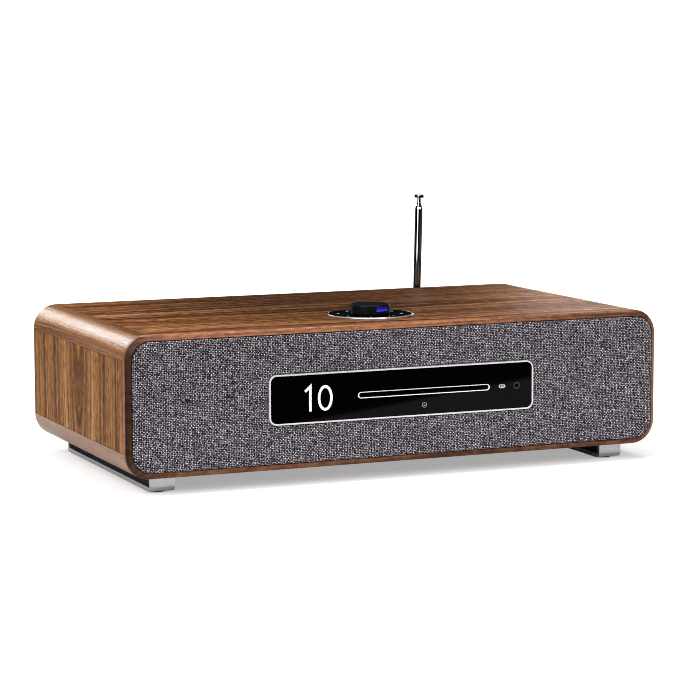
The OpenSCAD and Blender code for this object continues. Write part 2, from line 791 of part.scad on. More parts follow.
module dial_light() color("#2a22b0") at_dial() light_sector(0, 0);

// Encoder under the plate: housing with a cavity for the plunger.
module encoder() color("#8d8f92") at_dial() {
    translate([0, 0, -base_t - 13]) difference() {
        translate([-7, -7, 0]) cube([14, 14, 12.6]);
        translate([0, 0, 2]) cylinder(r = 4.6, h = 20);
    }
    color("#1d4a2c") translate([0, 0, -base_t - 14.6]) difference() {
        cylinder(r = 37, h = 1.6);
        translate([0, 0, -1]) cylinder(r = 2, h = 4);
    }
    for (i = [1:key_count]) rotate([0, 0, 22.5 + 45 * (i - 1)])
        translate([29, 0, -base_t - 13]) cylinder(r = 2.6, h = 12);
    for (a = [0:90:270]) rotate([0, 0, a]) translate([35, 0, -base_t - 13])
        cylinder(r = 1.8, h = 13);
}

// Sleeve that carries the turning shaft down when the knob is pressed.
module encoder_plunger() color("#c2a25a") at_dial() translate([0, 0, -base_t - 9.5])
    difference() {
        cylinder(r = 4.5, h = 8);
        translate([0, 0, -1]) cylinder(r = shaft_r + 0.05, h = 10);
    }

module encoder_shaft() color("#c8cacd") at_dial() {
    translate([0, 0, -base_t - 9.7]) cylinder(r = shaft_r, h = base_t + 9.7 + knob_h - 2.6);
    translate([0, 0, -base_t - 1.4]) cylinder(r = shaft_r + 1, h = 1.2);
}

// ---- disc drive ------------------------------------------------------------------------

// Sheet-metal case of the drive: plates, lips, legs, a motor boss and two guide rods.
module cd_chassis() color("#9fa1a4") {
    left = slot_x - drive_w / 2;
    low = mid_z - drive_down;
    high = mid_z + drive_up;
    wall_h = high - low - 2 * (sheet_t + seam);
    wall_z = low + sheet_t + seam;
    inside = drive_w - 2 * (sheet_t + seam);
    for (z = [low, high - sheet_t]) block(left, drive_y, z, drive_w, drive_d, sheet_t);
    for (x = [left, left + drive_w - sheet_t])
        block(x, drive_y, wall_z, sheet_t, drive_d, wall_h);
    block(left + sheet_t + seam, drive_y + drive_d - sheet_t, wall_z, inside, sheet_t, wall_h);
    block(left + sheet_t + seam, drive_y, wall_z, inside, sheet_t, mid_z - 4 - wall_z);
    block(left + sheet_t + seam, drive_y, mid_z + 4, inside, sheet_t, wall_z + wall_h - mid_z - 4);
    for (x = [left + 8, left + drive_w - 8], y = [drive_y + 10, drive_y + drive_d - 10])
        at(x, y, floor_z) cylinder(r = 4, h = low - seam - floor_z);
    at(slot_x, spindle_y, wall_z) difference() {
        cylinder(r = 12, h = 4.9);
        translate([0, 0, 1.9]) cylinder(r = 2.05, h = 6);
    }
    for (y = [-6.2, 6.2]) at(slot_x + 15 + seam, spindle_y + y, low + 5) rotate([0, 90, 0])
        cylinder(r = 1.5, h = 38 - 2 * seam);
    for (x = [14, 54]) block(slot_x + x - 1, spindle_y - 9, wall_z, 2, 18, 4.9);
    for (x = [-66, 64]) difference() {
        block(slot_x + x, drive_y + 5, wall_z, 2, 10, 9.9);
        at(slot_x + x - 1, drive_y + 10, mid_z - 6.6) rotate([0, 90, 0])
            cylinder(r = 1.55, h = 4);
    }
}

module cd_turntable() color("#26262a") at(slot_x, spindle_y, mid_z - drive_down + sheet_t) {
    translate([0, 0, 2.2]) cylinder(r = 2, h = 4);
    translate([0, 0, 5.2]) cylinder(r = 15, h = 3.6);
    translate([0, 0, 8.8]) cylinder(r1 = 7.4, r2 = 6.6, h = 1.6);
}

// Optical sled on two guide rods, with its lens.
module cd_sled() color("#5d5f63") at(slot_x + 17, spindle_y, mid_z - drive_down + sheet_t) {
    difference() {
        translate([0, -8.4, 1.6]) cube([16, 16.8, 5.2]);
        for (y = [-6.2, 6.2]) translate([-1, y, 3.5]) rotate([0, 90, 0]) cylinder(r = 1.56, h = 20);
    }
    translate([7, 0, 6.6]) cylinder(r = 3, h = 1.4);
}

// Rubber roller that draws the disc in, on a thin steel axle.
module cd_roller() color("#2a2a2c") at(slot_x, drive_y + 10, mid_z - 6.6) rotate([0, 90, 0]) {
    translate([0, 0, -60]) cylinder(r = 4, h = 120);
    translate([0, 0, -65.8]) cylinder(r = 1.5, h = 131.6);
}

// ---- feet and screws -------------------------------------------------------------------

// Side outline of a rail: a long shallow U; inset shrinks it to the hollow inside.
module rail_outline(inset) {
    len = rail_back - rail_front - 2 * inset;
    r = rail_r - inset;
    h = foot_h - pad_t - inset;
    translate([rail_front + inset, pad_t + inset]) {
        translate([r, 0]) square([len - 2 * r, h]);
        translate([0, r]) square([len, h - r]);
        for (x = [r, len - r]) translate([x, r]) circle(r);
    }
}

module along_rail(width) {
    for (x = [-1, 1]) translate([x * foot_x - width / 2, front_y, 0])
        rotate([90, 0, 90]) linear_extrude(width) children();
}

module foot_rails() color("#b4b6b9") along_rail(foot_w) difference() {
    rail_outline(0);
    rail_outline(rail_t);
}

// Black core inside each rail and the rubber pads under it.
module foot_blocks() color("#141416") {
    along_rail(foot_w - 3) rail_outline(rail_t);
    for (x = [-1, 1], y = [rail_front + 24, rail_back - 24]) at(x * foot_x, y, 0)
        linear_extrude(pad_t) pill_along(foot_w - 6, 34);
}

module pill_along(w, h) { rotate(90) pill(h, w); }

module panel_screws() color("#8b8d90") {
    for (x = [-1, 1], z = [-30, 30])
        at(x * (cabinet_w / 2 - wall - 7), rear_y, mid_z + z) rotate([90, 0, 0]) {
            translate([0, 0, -1.8]) cylinder(r = 3, h = 1.8);
            cylinder(r = 1.5, h = 16);
        }
    for (a = [45:90:315]) at(-woofer_x, woofer_y, base_z) rotate([0, 0, a])
        translate([guard_screw, 0, -1.2]) {
            cylinder(r = 2.8, h = 1.4);
            cylinder(r = 1.5, h = 9);
        }
}

top_panel();
bottom_panel();
left_panel();
right_panel();
corner_mouldings();
front_surround();
rear_panel();
baffle();
grille_frame();
grille_cloth();
fascia_bezel();
fascia_carrier();
fascia_window();
slot_trim();
display_board();
eject_button();
headphone_jack();
driver_baskets();
driver_magnets();
driver_surrounds();
left_cone();
right_cone();
woofer_cone();
woofer_guard();
bass_port();
main_board();
amplifier_board();
power_supply();
line_sockets();
digital_sockets();
optical_shutter();
mains_inlet();
antenna_socket();
antenna_elbow();
antenna_tube_1();
antenna_tube_2();
antenna_tube_3();
antenna_rod();
dial_ring();
dial_base();
dial_knob();
dial_light();
encoder();
encoder_shaft();
encoder_plunger();
key_1();
key_2();
key_3();
key_4();
key_5();
key_6();
key_7();
key_8();
cd_chassis();
cd_turntable();
cd_sled();
cd_roller();
foot_rails();
foot_blocks();
panel_screws();
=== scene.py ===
"""Looks of the one-box hifi: camera, studio, materials and the pieces that CAD leaves plain."""
import math

import bpy
from mathutils import Euler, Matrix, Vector


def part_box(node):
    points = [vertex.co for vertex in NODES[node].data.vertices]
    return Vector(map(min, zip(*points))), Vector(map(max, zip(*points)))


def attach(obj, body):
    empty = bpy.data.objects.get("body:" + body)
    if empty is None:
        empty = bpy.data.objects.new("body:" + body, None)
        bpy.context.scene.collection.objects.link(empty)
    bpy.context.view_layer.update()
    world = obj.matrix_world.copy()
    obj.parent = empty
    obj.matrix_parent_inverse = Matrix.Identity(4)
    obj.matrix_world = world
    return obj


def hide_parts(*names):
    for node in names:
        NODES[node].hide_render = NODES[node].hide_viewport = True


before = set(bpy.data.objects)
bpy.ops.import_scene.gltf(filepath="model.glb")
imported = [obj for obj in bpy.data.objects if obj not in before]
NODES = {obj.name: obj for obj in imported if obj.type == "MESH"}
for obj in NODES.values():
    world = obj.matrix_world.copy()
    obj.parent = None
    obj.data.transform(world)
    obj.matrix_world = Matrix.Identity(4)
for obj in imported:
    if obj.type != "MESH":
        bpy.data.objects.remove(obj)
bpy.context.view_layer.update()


# ---- places taken from the frame -----------------------------------------------------------

SHELL_LOW, SHELL_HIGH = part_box("front_surround")
FRONT_Y = SHELL_LOW.y
BACK_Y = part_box("corner_mouldings")[1].y
TOP_Z = SHELL_HIGH.z
BOTTOM_Z = SHELL_LOW.z
MID_Z = (TOP_Z + BOTTOM_Z) / 2

EDGE_R = 0.022                # outer radius of the four corner mouldings
MOULD_X = SHELL_HIGH.x - EDGE_R              # where the mouldings meet the top and bottom panels
MOULD_Z = TOP_Z - MID_Z - EDGE_R             # and the side panels, from the middle height


def centre(node):
    """Middle of a node's box."""
    low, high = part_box(node)
    return (low + high) / 2


# ---- camera --------------------------------------------------------------------------------

CAMERA_SIDE = -0.9315        # left of the middle
CAMERA_DISTANCE = 2.0292     # in front of the border's plane
CAMERA_HEIGHT = 0.3192       # above the shell's middle height
CAMERA_YAW = 23.303          # degrees to the right
CAMERA_PITCH = 7.043         # degrees down
CAMERA_ROLL = -0.128         # degrees
CAMERA_LENS = 131.92         # millimetres, on a sensor 36 mm wide


def make_camera():
    """Long lens from the front left, a little above the cabinet."""
    data = bpy.data.cameras.new("camera")
    data.sensor_width = 36
    data.lens = CAMERA_LENS
    data.clip_start = 0.05
    data.clip_end = 60
    camera = bpy.data.objects.new("camera", data)
    camera.location = (CAMERA_SIDE, FRONT_Y - CAMERA_DISTANCE, MID_Z + CAMERA_HEIGHT)
    turn = Euler((math.radians(90 - CAMERA_PITCH), 0, -math.radians(CAMERA_YAW)), "XYZ").to_matrix()
    roll = Euler((0, 0, math.radians(CAMERA_ROLL)), "XYZ").to_matrix()
    camera.rotation_euler = (turn @ roll).to_euler()
    bpy.context.scene.collection.objects.link(camera)
    bpy.context.scene.camera = camera


# ---- node helpers --------------------------------------------------------------------------


def srgb(code):
    """Linear opaque colour of a hexadecimal sRGB code."""
    channels = [int(code[i:i + 2], 16) / 255 for i in (0, 2, 4)]
    linear = [c / 12.92 if c <= 0.04045 else ((c + 0.055) / 1.055) ** 2.4 for c in channels]
    return (*linear, 1.0)


def toned(colour, factor):
    """The colour made lighter or darker by a factor."""
    return tuple(min(1, c * factor) for c in colour[:3]) + (1,)


class Nodes:
    """Short names for building one material's node tree."""

    def __init__(self, name):
        self.material = bpy.data.materials.new(name)
        self.material.use_nodes = True
        self.tree = self.material.node_tree
        self.tree.nodes.clear()
        self.shader = self.add("ShaderNodeBsdfPrincipled")
        output = self.add("ShaderNodeOutputMaterial")
        self.link(self.shader.outputs["BSDF"], output.inputs["Surface"])

    def add(self, kind, **values):
        node = self.tree.nodes.new(kind)
        for key, value in values.items():
            setattr(node, key, value)
        return node

    def link(self, out, into):
        self.tree.links.new(out, into)

    def put(self, value, socket):
        """Links an output, or sets a plain value."""
        if isinstance(value, bpy.types.NodeSocket):
            self.link(value, socket)
        else:
            socket.default_value = value

    def surface(self, **values):
        """Sets shader inputs, named in lower case with underscores."""
        for key, value in values.items():
            self.put(value, self.shader.inputs[key.replace("_", " ").title()])

    def place(self):
        """Position in the object's own space, in metres."""
        return self.add("ShaderNodeTexCoord").outputs["Object"]

    def scaled(self, vector, scale, move=(0, 0, 0)):
        node = self.add("ShaderNodeMapping")
        self.put(vector, node.inputs["Vector"])
        node.inputs["Scale"].default_value = scale
        node.inputs["Location"].default_value = move
        return node.outputs["Vector"]

    def noise(self, vector, scale=1.0, detail=2.0, rough=0.5):
        node = self.add("ShaderNodeTexNoise")
        self.put(vector, node.inputs["Vector"])
        node.inputs["Scale"].default_value = scale
        node.inputs["Detail"].default_value = detail
        node.inputs["Roughness"].default_value = rough
        return node.outputs["Fac"]

    def math(self, kind, a, b=0.0, c=0.0):
        node = self.add("ShaderNodeMath", operation=kind)
        for value, socket in zip((a, b, c), node.inputs):
            self.put(value, socket)
        return node.outputs[0]

    def ramp(self, fac, stops):
        """Colour ramp: stops are (position, colour)."""
        node = self.add("ShaderNodeValToRGB")
        self.put(fac, node.inputs["Fac"])
        elements = node.color_ramp.elements
        while len(elements) < len(stops):
            elements.new(0.5)
        for element, (at, colour) in zip(elements, stops):
            element.position = at
            element.color = colour
        return node.outputs["Color"]

    def grey(self, fac, *stops):
        """Ramp between plain numbers: stops are (position, value)."""
        return self.ramp(fac, [(at, (v, v, v, 1)) for at, v in stops])

    def mix(self, fac, a, b, kind="MIX"):
        node = self.add("ShaderNodeMix", data_type="RGBA", blend_type=kind)
        self.put(fac, node.inputs[0])
        self.put(a, node.inputs[6])
        self.put(b, node.inputs[7])
        return node.outputs[2]

    def parts(self, vector):
        """The X, Y and Z outputs of a vector."""
        node = self.add("ShaderNodeSeparateXYZ")
        self.put(vector, node.inputs[0])
        return node.outputs

    def join(self, x, y, z):
        node = self.add("ShaderNodeCombineXYZ")
        for value, socket in zip((x, y, z), node.inputs):
            self.put(value, socket)
        return node.outputs[0]

    def bump(self, height, strength, distance=0.0005):
        node = self.add("ShaderNodeBump")
        self.put(height, node.inputs["Height"])
        self.put(strength, node.inputs["Strength"])
        node.inputs["Distance"].default_value = distance
        self.link(node.outputs["Normal"], self.shader.inputs["Normal"])


# ---- wood ----------------------------------------------------------------------------------

TONE_REACH = 0.13             # how far a wood's tones spread round the middle of the noise
PORE_COLOUR = "1d0f07"
STRIP_Y = FRONT_Y + 0.027     # end of the plain strip at the front of the side panels
FIGURE_Y = FRONT_Y + 0.135    # middle of the side panels' cathedral figure
FIGURE_SLOPE = 0.16           # width of the figure's arches over their height
SKIN = 0.0003                 # depth of a line that is painted on a face only
BACK_LINE = 0.005             # width of the dark line at the top's back edge
SEAM = 0.0012                 # half width of the seams in the side panels
BORDER_FACE = 0.0042          # depth of the border's front face, with its rounding


def veneer(n, along, across, tones, spread=110.0, seed=0.0, contrast=1.0, wave=0.03,
           pore=(90.0, 1300.0, 0.35), streak=0.5, shade=None, roughness=0.42, specular=0.14,
           weights=(0.34, 0.36, 0.3)):
    """Walnut on material n. along follows the grain and across crosses it, in metres.

    tones go from dark to light, spread is the number of bands in a metre, wave is how far the
    bands wander, pore holds the pores' frequency along and across the grain and their depth,
    streak is the strength of the dark veins, shade darkens or lightens, and weights are the
    shares of the wide, middle and fine bands.
    """

    def layer(stretch, rate, offset, detail=3.0, rough=0.6, sideways=across):
        place = n.join(n.math("MULTIPLY", along, stretch), n.math("MULTIPLY", sideways, rate),
                       seed + offset)
        return n.noise(place, 1.0, detail, rough)

    drift = layer(2.4, 8.0, 0.0, 2.0)
    bent = n.math("ADD", across, n.math("MULTIPLY", drift, wave))
    wide = layer(1.3, spread * 0.22, 3.1, 2.0, 0.5, bent)
    bands = layer(2.0, spread, 7.7, 4.0, 0.62, bent)
    lines = layer(4.0, spread * 3.6, 1.9, 3.0, 0.65, bent)
    dark = layer(1.6, spread * 1.3, 4.4, 3.0, 0.6, bent)
    holes = n.grey(layer(pore[0], pore[1], 5.3, 1.0, 0.5, bent), (0.36, 1.0), (0.5, 0.0), (1.0, 0.0))
    specks = layer(pore[0] * 0.7, pore[1] * 0.6, 8.2, 2.0, 0.7, bent)
    tone = n.math("MULTIPLY", wide, weights[0])
    tone = n.math("MULTIPLY_ADD", bands, weights[1], tone)
    tone = n.math("MULTIPLY_ADD", lines, weights[2], tone)
    tone = n.math("MULTIPLY_ADD", n.math("SUBTRACT", specks, 0.5), pore[2] * 0.5, tone)
    count = len(tones) - 1
    low, high = 0.5 - TONE_REACH / contrast, 0.5 + TONE_REACH / contrast
    colour = n.ramp(tone, [(low + (high - low) * i / count, srgb(code))
                           for i, code in enumerate(tones)])
    vein = n.grey(dark, (0.34, 1.0), (0.45, 0.0), (1.0, 0.0))
    colour = n.mix(n.math("MULTIPLY", vein, streak), colour, srgb(tones[0]))
    colour = n.mix(n.math("MULTIPLY", holes, pore[2]), colour, srgb(PORE_COLOUR))
    if shade is not None:
        colour = n.mix(1.0, colour, shade, "MULTIPLY")
    n.surface(base_color=colour,
              roughness=n.grey(lines, (0.3, roughness - 0.06), (0.7, roughness + 0.08)))
    n.shader.inputs["Specular IOR Level"].default_value = specular
    n.bump(n.math("SUBTRACT", n.math("MULTIPLY", lines, 0.4), holes), 0.35, 0.00025)
    return n.material


def near(n, value, at, width):
    """One where value is at, falling evenly to nothing a width away."""
    far = n.math("DIVIDE", n.math("ABSOLUTE", n.math("SUBTRACT", value, at)), width)
    return n.math("MAXIMUM", n.math("SUBTRACT", 1.0, far), 0.0)


def walnut_flat(name):
    """Top and bottom panels: grain along X, painted shade towards the back middle, and a painted
    reflection that makes the right end lighter.
    """
    n = Nodes(name)
    x, y, z = n.parts(n.place())
    # painted shade: the back middle of the panel is darkened
    back_middle_painted_shade = n.math("MULTIPLY", near(n, x, 0.02, 0.24), near(n, y, BACK_Y - 0.03, 0.2))
    cloud = n.noise(n.join(n.math("MULTIPLY", x, 3.0), n.math("MULTIPLY", y, 9.0), 2.0), 1.0, 2.0)
    shade = n.grey(n.math("MULTIPLY_ADD", cloud, 0.5, n.math("MULTIPLY", back_middle_painted_shade, -0.6)),
                   (0.0, 0.4), (0.15, 0.6), (0.35, 0.95))
    skin = n.math("LESS_THAN", n.math("ABSOLUTE", n.math("SUBTRACT", z, TOP_Z)), SKIN)
    rear = n.math("MULTIPLY", near(n, y, BACK_Y, BACK_LINE), skin)
    # painted reflection: the right end is made much lighter, the left end a little lighter and the
    # middle a little darker
    painted_reflection_ends = n.grey(n.math("SUBTRACT", x, SHELL_LOW.x),
                   (0.02, 1.12), (0.26, 0.88), (0.4, 1.33), (0.5, 1.58))
    shade = n.math("MULTIPLY", n.math("MULTIPLY", shade, painted_reflection_ends), n.math("SUBTRACT", 1.0, rear))
    return veneer(n, x, y, ("2c160a", "553019", "7b4b2b", "9b6b43", "b88a60"), 140.0, 0.0, 1.05,
                  wave=0.07, pore=(150.0, 160.0, 0.4), streak=0.4, shade=shade, specular=0.06,
                  weights=(0.1, 0.6, 0.3))


def walnut_side(name, seed):
    """Side panel: upright grain with a cathedral figure, and a plain strip at the front."""
    n = Nodes(name)
    _, y, z = n.parts(n.place())
    middle = n.math("SUBTRACT", y, FIGURE_Y)
    rise = n.math("MULTIPLY", n.math("SUBTRACT", TOP_Z, z), FIGURE_SLOPE)
    ring = n.math("SQRT", n.math("ADD", n.math("MULTIPLY", middle, middle),
                                 n.math("MULTIPLY", rise, rise)))
    strip = n.math("LESS_THAN", y, STRIP_Y)
    across = n.math("MULTIPLY_ADD", strip, 0.37, ring)
    line = n.math("MULTIPLY", near(n, y, STRIP_Y, SEAM), 0.55)
    seam = near(n, n.math("ABSOLUTE", n.math("SUBTRACT", z, MID_Z)), MOULD_Z, SEAM)
    shade = n.math("SUBTRACT", n.math("MULTIPLY_ADD", strip, 0.12, 0.95),
                   n.math("MULTIPLY_ADD", seam, 0.6, line))
    return veneer(n, z, across, ("3f2511", "694220", "8b5c32", "a47444", "c4945e"), 150.0, seed, 1.15,
                  wave=0.012, pore=(150.0, 260.0, 0.3), streak=0.32, shade=shade, roughness=0.5,
                  specular=0.04, weights=(0.2, 0.5, 0.3))


def walnut_moulding(name):
    """Quarter-round mouldings, each of its own wood: grain along Y, open pores, few stripes."""
    n = Nodes(name)
    x, y, z = n.parts(n.place())
    height = n.math("SUBTRACT", z, MID_Z)
    out = n.math("ABSOLUTE", x)
    turn = n.math("ADD", n.math("SIGN", x), n.math("MULTIPLY", n.math("SIGN", height), 0.3))
    across = n.math("ADD", n.math("SUBTRACT", n.math("ABSOLUTE", height), out), turn)
    shade = n.math("MULTIPLY_ADD", near(n, out, MOULD_X, 0.0007), -0.5, 1.0)
    return veneer(n, y, across, ("573419", "774b28", "8d5e37", "a17145", "b88759"), 150.0, 0.0, 1.0,
                  wave=0.02, pore=(150.0, 800.0, 0.45), streak=0.3, shade=shade, roughness=0.32,
                  specular=0.42, weights=(0.2, 0.35, 0.45))


def walnut_border(name):
    """Solid border: the grain follows each bar, and the bars meet in mitres.

    Its face has painted shade at the left end, and its top bar has a painted highlight along its upper
    edge and darkens to the right.
    """
    n = Nodes(name)
    x, y, z = n.parts(n.place())
    out = n.math("SUBTRACT", n.math("ABSOLUTE", x), MOULD_X)
    up = n.math("SUBTRACT", n.math("ABSOLUTE", n.math("SUBTRACT", z, MID_Z)), MOULD_Z)
    side = n.math("GREATER_THAN", out, up)
    mitre = n.math("MULTIPLY", near(n, n.math("SUBTRACT", out, up), 0.0, 0.0006),
                   n.math("GREATER_THAN", out, 0.0))

    def pick(a, b):
        """a on the upright bars, and b on the level ones."""
        return n.math("ADD", n.math("MULTIPLY", side, a),
                      n.math("MULTIPLY", n.math("SUBTRACT", 1.0, side), b))

    face = n.math("LESS_THAN", y, FRONT_Y + BORDER_FACE)
    # painted shade: the face is darkened towards its left end
    low = n.math("MULTIPLY", near(n, x, SHELL_LOW.x, 0.04), 0.9)
    left_end_painted_shade = n.math("SUBTRACT", 1.0, n.math("MULTIPLY", low, face))
    over = n.math("MULTIPLY", n.math("GREATER_THAN", z, MID_Z), n.math("SUBTRACT", 1.0, side))
    fall = n.math("MULTIPLY", over, n.grey(x, (0.08, 0.0), (0.2, 0.5)))
    # painted highlight: a pale band along the top bar's upper edge
    crest_painted_highlight = n.math("MULTIPLY", near(n, z, TOP_Z - 0.0008, 0.0009), over)
    shade = n.math("MULTIPLY", left_end_painted_shade, n.math("SUBTRACT", n.math("MULTIPLY_ADD", mitre, -0.4, 1.0), fall))
    shade = n.math("MULTIPLY_ADD", crest_painted_highlight, 0.7, shade)
    return veneer(n, pick(z, x), n.math("ADD", pick(x, z), n.math("MULTIPLY", y, 0.8)),
                  ("4f2c1b", "744a34", "916145", "a87556", "bf8b6d"), 120.0, 2.0, 1.0,
                  wave=0.02, pore=(140.0, 500.0, 0.4), streak=0.45, shade=shade, roughness=0.36,
                  specular=0.1)


# ---- plain materials -----------------------------------------------------------------------

FINE = 900.0                  # noise cells in a metre, for the finest texture of a metal
BRUSHED = 25.0                # the same along the brushing
DARK_METAL = "050506"
PAINTED_DARK_FROM = TOP_Z - 0.03      # height where the aerial's painted dark reflection begins
CAP_H = 0.0035                # height of the darkened end of the aerial's cap
LIP_DEPTH = 0.0011            # depth of the bright lip of the disc slot
LIP_PAINTED_GLOW = (0.1, 0.4)         # painted glow of the lip's upper and lower half
WINDOW_RATE = 240.0           # the lit window's colours run through once in 1 / 240 metre
YARN_PITCH = 0.00155          # width of one yarn of the grille cloth
YARN_SWAY = 0.8               # how far the yarns wander, in yarns


def plastic(name, code, roughness, specular=0.5, grain=0.0, grain_scale=2500.0, shade=0.12):
    """Moulded plastic with a fine texture and slightly uneven gloss."""
    n = Nodes(name)
    place = n.place()
    cloud = n.noise(place, 35.0, 3.0)
    base = srgb(code)
    n.surface(base_color=n.mix(cloud, toned(base, 1 - shade), toned(base, 1 + shade)),
              roughness=n.grey(cloud, (0.3, roughness * 0.9), (0.7, min(1, roughness * 1.12))))
    n.shader.inputs["Specular IOR Level"].default_value = specular
    if grain:
        n.bump(n.noise(place, grain_scale, 2.0), grain, 0.0002)
    return n.material


def fine_streak(n, brushed=None):
    """Fine noise, drawn out along the axis with the number brushed."""
    scale = [FINE] * 3
    if brushed is not None:
        scale[brushed] = BRUSHED
    return n.noise(n.scaled(n.place(), scale), 1.0, 3.0, 0.6)


def metal(name, code, roughness, brushed=None, grain=0.1, metallic=1.0):
    """Metal with fine brushing along one axis, or even polish."""
    n = Nodes(name)
    streak = fine_streak(n, brushed)
    base = srgb(code)
    n.surface(base_color=n.mix(streak, toned(base, 0.88), base), metallic=metallic,
              roughness=n.grey(streak, (0.3, roughness * 0.8), (0.7, roughness * 1.25)))
    n.bump(streak, grain, 0.00005)
    return n.material


def aerial_metal(name):
    """Smooth chrome, darkened at the cap's end, with a painted dark reflection where the tube passes the
    cabinet's edge.
    """
    n = Nodes(name)
    z = n.parts(n.place())["Z"]
    # painted dark reflection: a band of the tube is darkened where it passes the cabinet's edge; the
    # cap's end is darkened too
    painted_dark_band = n.grey(n.math("SUBTRACT", z, PAINTED_DARK_FROM),
                  (0.0, 0.0), (0.026, 1.0), (0.054, 1.0), (0.066, 0.0))
    tip = n.math("GREATER_THAN", z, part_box("antenna_rod")[1].z - CAP_H)
    shade = n.math("SUBTRACT", 1.0, n.math("MULTIPLY", n.math("MAXIMUM", painted_dark_band, tip), 0.7))
    streak = fine_streak(n)
    chrome = n.mix(streak, srgb("d8d9dc"), srgb("e6e7e9"))
    n.surface(base_color=n.mix(shade, srgb(DARK_METAL), chrome), metallic=1.0,
              roughness=n.grey(streak, (0.3, 0.04), (0.7, 0.06)))
    return n.material


def ring_metal(name):
    """Satin ring round the control, with a painted dark reflection over its back half."""
    n = Nodes(name)
    low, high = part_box("dial_ring")
    y = n.parts(n.place())["Y"]
    # painted dark reflection: the back half of the ring is turned nearly black
    behind = n.math("DIVIDE", n.math("SUBTRACT", y, low.y), high.y - low.y)
    streak = fine_streak(n)
    bright = n.mix(streak, srgb("dcdddf"), srgb("f0f1f2"))
    n.surface(base_color=n.mix(n.grey(behind, (0.5, 0.0), (0.68, 0.8)), bright, srgb("1a1a1c")),
              metallic=0.8, roughness=n.grey(streak, (0.3, 0.2), (0.7, 0.3)))
    return n.material


def slot_metal(name):
    """Bright lip round the disc slot with a little painted glow, and black deeper inside."""
    n = Nodes(name)
    _, y, z = n.parts(n.place())
    inside = n.math("GREATER_THAN", n.math("SUBTRACT", y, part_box("slot_trim")[0].y), LIP_DEPTH)
    lip = n.mix(fine_streak(n), srgb("f2f2f3"), srgb("ffffff"))
    upper, lower = LIP_PAINTED_GLOW
    # painted glow: the lip emits light though it is no lamp, more on its lower half
    glow = n.math("MULTIPLY_ADD", n.math("LESS_THAN", z, centre("slot_trim").z), lower - upper, upper)
    n.surface(base_color=n.mix(inside, lip, srgb(DARK_METAL)), metallic=0.1,
              roughness=n.math("MULTIPLY_ADD", inside, 0.5, 0.28), emission_color=(1, 1, 1, 1),
              emission_strength=n.math("MULTIPLY", glow, n.math("SUBTRACT", 1.0, inside)))
    return n.material


def window_light(name):
    """Blue lit window in the knob, brighter towards its lower edge."""
    n = Nodes(name)
    z = n.parts(n.place())["Z"]
    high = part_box("dial_light")[1].z
    colour = n.ramp(n.math("MULTIPLY", n.math("SUBTRACT", high, z), WINDOW_RATE),
                    [(0.1, srgb("150f6e")), (0.6, srgb("241fb0")), (1.0, srgb("4a48ff"))])
    n.surface(base_color=colour, roughness=0.2, emission_color=colour)
    n.shader.inputs["Emission Strength"].default_value = 0.25
    return n.material


def glowing(name, code, strength):
    """Slightly uneven light of a display."""
    n = Nodes(name)
    cloud = n.noise(n.place(), 60.0, 1.0)
    base = srgb(code)
    colour = n.mix(cloud, toned(base, 0.75), base)
    n.surface(base_color=colour, roughness=0.2, emission_color=colour)
    n.shader.inputs["Emission Strength"].default_value = strength
    return n.material


def tweed(name):
    """Plain weave of mottled yarns, pale weft over dark warp, with painted shade in the gaps between the
    yarns and lighter yarn crowns.
    """
    n = Nodes(name)
    x, _, z = n.parts(n.place())
    sway = n.noise(n.scaled(n.place(), (40.0, 40.0, 40.0), (3.0, 1.0, 7.0)), 1.0, 2.0, 0.6)
    u = n.math("MULTIPLY_ADD", sway, YARN_SWAY, n.math("DIVIDE", x, YARN_PITCH))
    sag = n.noise(n.place(), 40.0, 2.0, 0.6)
    v = n.math("MULTIPLY_ADD", sag, YARN_SWAY, n.math("DIVIDE", z, YARN_PITCH))
    column, row = n.math("FLOOR", u), n.math("FLOOR", v)
    weft = n.math("FLOORED_MODULO", n.math("ADD", column, row), 2.0)
    side_u = n.math("SUBTRACT", n.math("FRACT", u), 0.5)
    side_v = n.math("SUBTRACT", n.math("FRACT", v), 0.5)

    def pick(a, b):
        """a where the weft is on top, and b where the warp is."""
        return n.math("ADD", n.math("MULTIPLY", weft, a),
                      n.math("MULTIPLY", n.math("SUBTRACT", 1.0, weft), b))

    def chance(a, b, c=0.0):
        """A fixed value from 0 to 1 for each cell."""
        spot = n.add("ShaderNodeTexWhiteNoise", noise_dimensions="3D")
        n.link(n.join(a, b, c), spot.inputs["Vector"])
        return spot.outputs["Value"]

    def cut(value, rate):
        return n.math("FLOOR", n.math("MULTIPLY", value, rate))

    def squared(value, weight):
        return n.math("MULTIPLY", n.math("MULTIPLY", value, value), weight)

    ends, across = pick(side_u, side_v), pick(side_v, side_u)
    bulge = n.math("SUBTRACT", 1.0, n.math("ADD", squared(across, 3.2), squared(ends, 2.8)))
    speck = chance(cut(u, 2.0), cut(v, 2.0), weft)
    knuckle = chance(column, row)
    run = chance(pick(cut(u, 0.25), column), pick(row, cut(v, 0.25)), n.math("ADD", weft, 5.0))
    tone = pick(0.243, 0.103)
    for value, weight in ((speck, 0.5), (knuckle, 0.13), (run, 0.09)):
        tone = n.math("MULTIPLY_ADD", value, weight, tone)
    colour = n.ramp(tone, [(0.2, srgb("060507")), (0.4, srgb("353136")), (0.57, srgb("787179")),
                           (0.74, srgb("c4bbc4")), (0.9, srgb("fff6ff"))])
    # painted shade darkens the gaps between the yarns, and painted light brightens the yarns' crowns
    yarn_painted_shade = n.grey(bulge, (0.15, 0.0), (0.5, 0.38), (0.85, 1.25))
    n.surface(base_color=n.mix(1.0, colour, yarn_painted_shade, "MULTIPLY"), roughness=0.95)
    n.shader.inputs["Specular IOR Level"].default_value = 0.1
    n.shader.inputs["Sheen Weight"].default_value = 0.1
    n.shader.inputs["Sheen Roughness"].default_value = 0.5
    n.bump(bulge, 0.5, 0.0004)
    return n.material


